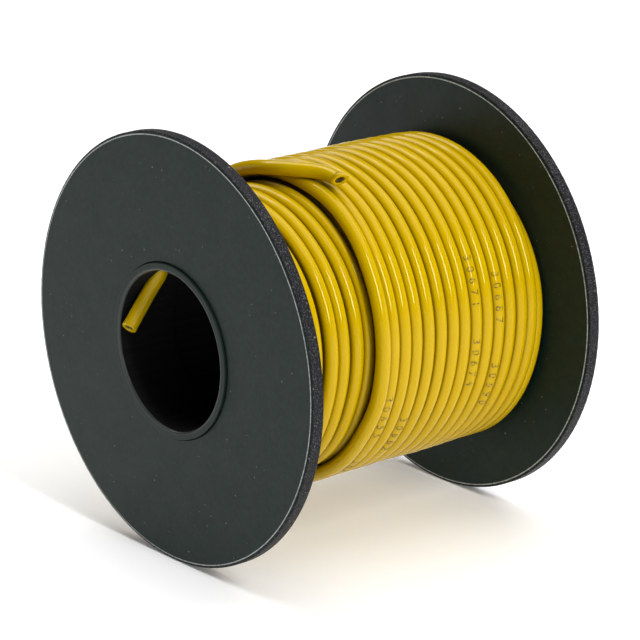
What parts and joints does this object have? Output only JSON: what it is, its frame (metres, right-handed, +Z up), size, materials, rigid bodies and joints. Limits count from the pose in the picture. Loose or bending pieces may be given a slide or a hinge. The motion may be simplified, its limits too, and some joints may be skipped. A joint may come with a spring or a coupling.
{
  "type": "wire spool",
  "caption": "Round flanged spool with a through bore, wound with layers of insulated hook-up wire whose free end lies over the winding.",
  "frame": {"origin": "centre of the spool: on the bore's axis, midway between the two flanges' outer faces", "axes": "+Y along the bore from the near flange (where the wire starts) to the far flange, +Z up with the spool lying on its rims, +X to the side"},
  "size_m": [0.0654, 0.0564, 0.0654],
  "materials": {
    "moulded_plastic": "satin black, fine texture",
    "barrel_plastic": "satin black",
    "insulation": "smooth yellow silicone rubber, satin to glossy",
    "tinned_copper": "fine tinned copper strands"
  },
  "bodies": {
    "root": {"near_flange": "moulded_plastic", "far_flange": "moulded_plastic", "barrel": "barrel_plastic", "wire_layer_1": "insulation", "wire_layer_2": "insulation", "wire_layer_3": "insulation", "wire_layer_4": "insulation", "start_insulation": "insulation", "start_conductor": "tinned_copper", "end_insulation": "insulation", "end_conductor": "tinned_copper"}
  },
  "joints": []
}
